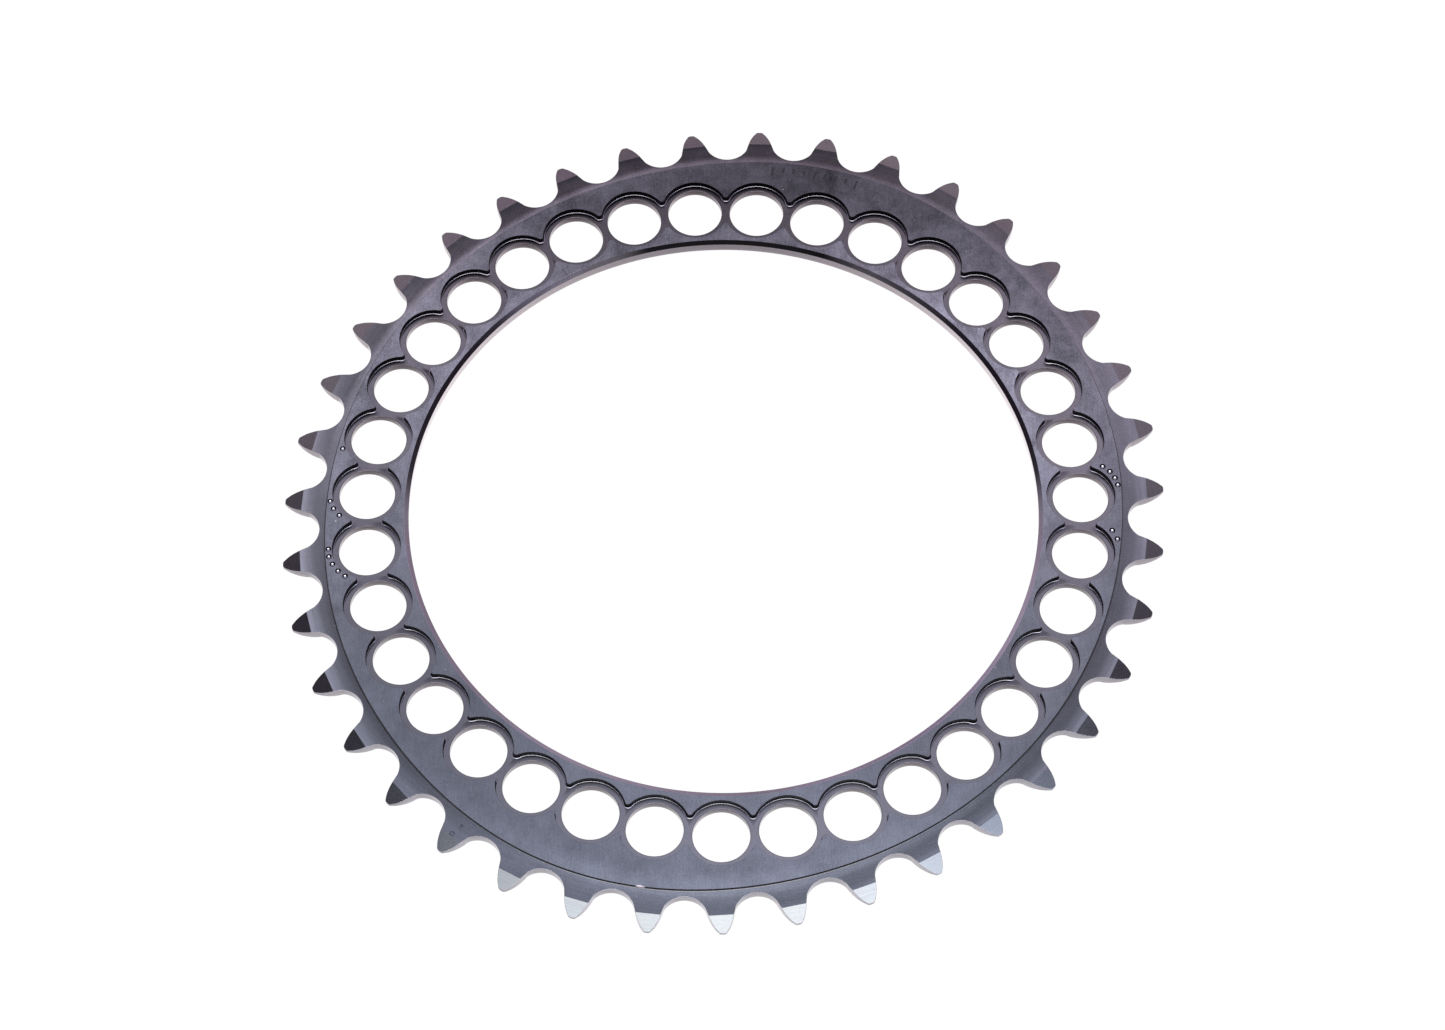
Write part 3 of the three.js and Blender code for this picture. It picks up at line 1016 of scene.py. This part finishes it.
def add_material(name, base, rough, grain, cloud, turning=0.0, rolling=0.0, streaks=0.0,
                 wear=0.8, specks=0.0, bump=0.0, marks=False, far_edge_highlight=False, wall=None,
                 zone=None, depth=None, lit=None):
    """An anodised finish on the body's next slot. grain, cloud, turning (round the ring),
    rolling (along Y) and streaks are strengths of patterns; depth is a ramp of light over z."""
    material = bpy.data.materials.new("anodised_" + name)
    material.use_nodes = True
    graph = Surface(material.node_tree)
    place, x, y = graph.place, graph.x, graph.y
    radius = graph.hypot(x, y) if turning or lit else None

    # fine satin grain, and slower patches; both stronger towards the far side
    satin = graph.noise(place, scale=3.1, detail=5.0, rough=0.68)
    fine = graph.noise(place, scale=11.0, detail=3.0, rough=0.6)
    broad = graph.noise(place, scale=0.085, detail=4.0, rough=0.55, distortion=0.6)
    patch = graph.noise(place, scale=0.33, detail=4.0, rough=0.6, distortion=0.4)
    amount = swing(satin, grain * 2.2) + swing(fine, grain * 1.4)
    patchy = swing(broad, cloud * 2.4) + swing(patch, cloud * 1.5)
    amount = amount * graph.ramp(y, -30.0, 50.0, at_start=1.3, at_end=2.2)
    amount = amount + patchy * graph.ramp(y, -45.0, 55.0, at_start=0.42)
    height = satin * 0.6 + fine * 0.4
    if rolling:
        lines = graph.stretched_noise((5.5, 0.42, 1.0), detail=4.0, rough=0.6)
        far = graph.ramp(y, -30.0, 50.0, at_start=1.1, at_end=1.6)
        amount = amount + swing(lines, rolling * 2.0) * far
        height = height + lines * 0.7
    if turning:
        around = 9.0 / radius
        ring_place = graph.value("ShaderNodeCombineXYZ",
                                 {0: x * around, 1: y * around, 2: radius * 5.2})
        lines = graph.noise(ring_place, scale=1.0, detail=4.0, rough=0.62)
        amount = amount + swing(lines, turning * 2.0)
        height = height + lines * 1.1
    if streaks:
        lines = graph.stretched_noise((0.22, 0.22, 4.2), detail=3.0, rough=0.6)
        amount = amount + swing(lines, streaks * 2.0)
    level = graph.math("MAXIMUM", 1.0 + amount, 0.15)

    shade = (*base, 1)
    # painted light and shade on the cut walls: the dark base is lightened by facing, lowness and
    # nearness
    if wall:
        shade = painted_wall_light(graph, shade, **wall)
    if lit:
        shade = graph.times((*lit, 1), chamfer_light(graph, radius))
    if zone:
        level = level * zone_light(graph, zone)
    if zone == "seat":
        level = level * seat_reflection(graph)
    if depth:
        level = level * graph.ramp(graph.z, **depth)
    colour = graph.times(shade, level)

    # slow drift of the tint from near to far
    wander = swing(graph.noise(place, scale=0.055, detail=2.0, rough=0.5), 0.9)
    tint = graph.mix(graph.ramp(y, -70.0, 70.0) + wander,
                     (0.965, 1.02, 1.03, 1), (1.025, 0.985, 1.0, 1))
    colour = graph.mix(1.0, colour, tint, "MULTIPLY")
    roughness = rough + (swing(patch, 0.05) + swing(satin, 0.08))

    # bright metal where edges have rubbed; on the step it is also a painted highlight, stronger
    # towards the far side
    edge = graph.value("ShaderNodeAttribute", output="Fac", attribute_name="edge_wear")
    edge_noise = graph.noise(place, scale=0.55, detail=5.0, rough=0.65)
    rubbed_and_highlight = graph.ramp(edge, 0.15, 1.0) * graph.ramp(edge_noise, 0.36, 0.62, at_start=0.35)
    # painted highlight: on the step, the edge brightening grows towards the far side (+Y)
    if far_edge_highlight:
        rubbed_and_highlight = rubbed_and_highlight * graph.ramp(y, 5.0, 45.0, at_start=0.25)
    rubbed_and_highlight = graph.math("MULTIPLY", rubbed_and_highlight, wear, clamp=True)
    colour = graph.mix(rubbed_and_highlight, colour, WORN_AND_HIGHLIGHT)
    roughness = roughness + rubbed_and_highlight * 0.10

    dust, chalk = speckle(graph, specks), CHALK
    if marks:
        dust, colour, chalk = add_marks(graph, dust, colour)
    relief = graph.value("ShaderNodeBump", {
        "Strength": bump, "Distance": 0.000018, "Height": height})
    metal = graph.value("ShaderNodeBsdfPrincipled", {
        "Base Color": colour, "Metallic": 1.0, "Roughness": roughness, "Normal": relief})
    pale = graph.value("ShaderNodeBsdfDiffuse", {"Color": chalk, "Roughness": 0.5})
    both = graph.value("ShaderNodeMixShader", {0: dust, 1: metal, 2: pale})
    graph.new("ShaderNodeOutputMaterial", {"Surface": both})
    material.diffuse_color = (*base, 1)
    mesh.materials.append(material)


GREY = (0.2, 0.2, 0.2)
add_material("face", GREY, rough=0.22, grain=0.30, cloud=0.72, rolling=0.22, specks=0.55,
             marks=True, bump=0.12, zone="face")
add_material("band", GREY, rough=0.21, grain=0.20, cloud=0.30, turning=0.30, specks=0.4,
             marks=True, bump=0.10, zone="band")
add_material("bevel", GREY, rough=0.20, grain=0.16, cloud=0.16, turning=0.20, specks=0.4,
             bump=0.08, zone="bevel")
add_material("step", (0.17, 0.165, 0.17), rough=0.20, grain=0.08, cloud=0.10, wear=0.85,
             marks=True, far_edge_highlight=True,
             depth=dict(start=BAND_Z + 0.06, end=BAND_Z + 0.22, at_start=0.75, at_end=0.14))
# painted shade: the seat walls are given a near-black colour for the dark they show
add_material("seat_wall", (0.009, 0.009, 0.011), rough=0.22, grain=0.06, cloud=0.08, wear=0.10)
add_material("seat_floor", (0.217, 0.201, 0.196), rough=0.20, grain=0.20, cloud=0.30,
             specks=0.35, bump=0.06, wear=0.25, zone="seat")
add_material("hole_wall", (0.062, 0.051, 0.058), rough=0.26, grain=0.12, cloud=0.20, wear=0.16,
             streaks=0.30, wall=dict(colour=(0.53, 0.47, 0.51), sideways=0.42, low=0.10,
                                     near_end=0.11, rightward=0.08))
add_material("bore", (0.16, 0.145, 0.162), rough=0.20, grain=0.08, cloud=0.10, specks=0.1,
             wear=0.4, streaks=0.20,
             wall=dict(colour=(0.60, 0.54, 0.57), sideways=0.98, low=0.14, near_end=0.0))
add_material("flank", (0.20, 0.178, 0.195), rough=0.26, grain=0.12, cloud=0.22, wear=0.25,
             streaks=0.40,
             wall=dict(colour=(0.60, 0.55, 0.60), sideways=0.27, low=0.10, near_end=0.17))
add_material("dimple", (0.24, 0.24, 0.25), rough=0.12, grain=0.0, cloud=0.0, wear=0.2,
             depth=dict(start=Z_FRONT - 0.187, end=Z_FRONT - 0.145, at_start=2.8, at_end=0.03))
add_material("mark", (0.16, 0.16, 0.17), rough=0.26, grain=0.06, cloud=0.06, specks=0.1,
             wear=0.4,
             depth=dict(start=Z_FRONT - 0.10, end=Z_FRONT - 0.02, at_start=0.6, at_end=0.3))
add_material("back", GREY, rough=0.24, grain=0.30, cloud=0.40, rolling=0.22, specks=0.45,
             bump=0.12)
add_material("chamfer", (0.009, 0.009, 0.012), rough=0.20, grain=0.10, cloud=0.12,
             turning=0.2, specks=0.15, wear=0.3, lit=(1.0, 0.93, 1.04))
add_material("seat_foot", (0.26, 0.245, 0.27), rough=0.30, grain=0.08, cloud=0.10)

# ---------------------------------------------------------------- floor

FLOOR_SEEN, FLOOR_LIT = 1.02, 1.3    # the floor to the camera, and as a light
HALF_FLOOR = 3.0


def add_floor():
    """A glowing white floor just under the ring, clear from below."""
    floor_mesh = bpy.data.meshes.new("floor")
    corners = [(x * HALF_FLOOR, y * HALF_FLOOR, 0) for x, y in ((-1, -1), (1, -1), (1, 1), (-1, 1))]
    floor_mesh.from_pydata(corners, [], [(0, 1, 2, 3)])
    floor = bpy.data.objects.new("floor", floor_mesh)
    floor.location.z = -0.0006
    bpy.context.scene.collection.objects.link(floor)
    material = bpy.data.materials.new("floor_white")
    material.use_nodes = True
    graph = Graph(material.node_tree)
    seen = graph.value("ShaderNodeLightPath", output="Is Camera Ray")
    glow = graph.value("ShaderNodeEmission", {
        "Color": (1, 1, 1, 1), "Strength": FLOOR_LIT + seen * (FLOOR_SEEN - FLOOR_LIT)})
    under = graph.value("ShaderNodeNewGeometry", output="Backfacing")
    clear = graph.value("ShaderNodeBsdfTransparent")
    both = graph.value("ShaderNodeMixShader", {0: under, 1: glow, 2: clear})
    graph.new("ShaderNodeOutputMaterial", {"Surface": both})
    floor_mesh.materials.append(material)


add_floor()

# ---------------------------------------------------------------- studio light

# Soft spots in the world: azimuth from +Y towards +X, elevation, softness (degrees), colour.
SPOTS = [
    (0, 68, 7.2, (0.1297, 0.1508, 0.2088)), (144, 82, 7.2, (1.4403, 1.4184, 1.4449)),
    (28, 51, 4.9, (0.2260, 0.2162, 0.2957)), (-23, 59, 4.9, (0.1867, 0.1852, 0.2248)),
    (8, 22, 11.5, (0.1633, 0.1360, 0.1573)), (-35, 34, 7.2, (0.2556, 0.2229, 0.2560)),
    (-95, 79, 4.9, (0.4365, 0.5862, 0.7337)), (93, 71, 4.9, (0.9600, 1.0871, 1.4988)),
    (36, 37, 11.5, (0.1048, 0.0871, 0.0982)), (13, 63, 4.9, (0.1043, 0.0951, 0.1162)),
    (-18, 27, 4.9, (0.1941, 0.1591, 0.2052)), (-53, 79, 4.9, (0.3910, 0.3742, 0.5362)),
]
FILL = (0.0222, 0.0161, 0.0239)
BOX_LEVEL = 1.0
BOX_COLOUR = (0.96, 0.97, 1.0)
FRONT_COLOUR = (0.128, 0.124, 0.142)
SIDE_COLOUR = (0.105, 0.101, 0.114)
SEEN_COLOUR = (0.96, 0.96, 0.97, 1)  # the world to the camera
GAIN = 5.0


def add_world():
    world = bpy.data.worlds.new("studio")
    bpy.context.scene.world = world
    world.use_nodes = True
    graph = Graph(world.node_tree)
    ramp = graph.ramp
    ray = graph.vector("NORMALIZE", graph.value("ShaderNodeTexCoord", output="Generated"))

    def light(level, colour):
        grey = graph.value("ShaderNodeCombineXYZ", {0: level, 1: level, 2: level})
        return graph.vector("MULTIPLY", grey, colour)

    total = None
    for azimuth, elevation, softness, colour in SPOTS:
        azimuth, elevation = math.radians(azimuth), math.radians(elevation)
        centre = (math.cos(elevation) * math.sin(azimuth),
                  math.cos(elevation) * math.cos(azimuth), math.sin(elevation))
        off = graph.vector("DOT_PRODUCT", ray, centre, output=1) - 1.0
        spot = light(graph.math("EXPONENT", off * (1.0 / math.radians(softness) ** 2)), colour)
        total = spot if total is None else graph.vector("ADD", total, spot)
    total = graph.vector("ADD", total, FILL)

    # an overhead box, from the zenith towards the camera's side
    x, y, z = graph.split("ShaderNodeSeparateXYZ", ray)
    up = graph.math("MAXIMUM", z, 0.05)
    across = graph.math("ABSOLUTE", x / up)
    along = y / up
    box = ramp(across, 0.36, 0.28) * (ramp(along, 0.13, 0.07) * ramp(along, -0.55, -0.42))
    total = graph.vector("MAXIMUM", total, light(box * BOX_LEVEL, BOX_COLOUR))
    # a broad soft panel on the camera's side, which lights the ring seen from behind
    front = ramp(y, -0.04, -0.25) * ramp(z, 0.0, 0.22, at_start=0.45)
    total = graph.vector("MAXIMUM", total, light(front, FRONT_COLOUR))
    # and two low ones at the sides
    level_length = graph.math("MAXIMUM", graph.hypot(x, y), 0.01)
    aside = graph.math("ABSOLUTE", x) / level_length
    side = ramp(aside, 0.70, 0.82) * (ramp(z, 0.02, 0.16) * ramp(z, 0.66, 0.54))
    total = graph.vector("MAXIMUM", total, light(side, SIDE_COLOUR))

    studio = graph.value("ShaderNodeBackground", {"Color": total, "Strength": GAIN})
    plain = graph.value("ShaderNodeBackground", {"Color": SEEN_COLOUR, "Strength": 1.0})
    seen = graph.value("ShaderNodeLightPath", output="Is Camera Ray")
    both = graph.value("ShaderNodeMixShader", {0: seen, 1: studio, 2: plain})
    graph.new("ShaderNodeOutputWorld", {"Surface": both})


add_world()

# ---------------------------------------------------------------- camera

# The camera's axes and place.
CAMERA_RIGHT = (0.999992097, -0.00337797731, -0.00209644713)
CAMERA_UP = (0.00397239185, 0.870318144, 0.492473906)
CAMERA_BACK = (0.000161010289, -0.492478342, 0.870324685)
CAMERA_PLACE = (0.0, -0.360303, 0.636300)

lens = bpy.data.cameras.new("camera")
camera = bpy.data.objects.new("camera", lens)
bpy.context.scene.collection.objects.link(camera)
camera.matrix_world = Matrix(((*CAMERA_RIGHT, 0), (*CAMERA_UP, 0), (*CAMERA_BACK, 0),
                              (*CAMERA_PLACE, 1))).transposed()
lens.sensor_width = 36.0
lens.lens = 100.068789
lens.shift_x = -0.000346020761
lens.shift_y = 0.000346020761
lens.clip_start = 0.01
bpy.context.scene.camera = camera
bpy.context.scene.view_settings.view_transform = "Standard"
bpy.context.scene.view_settings.look = "None"

bpy.context.view_layer.update()
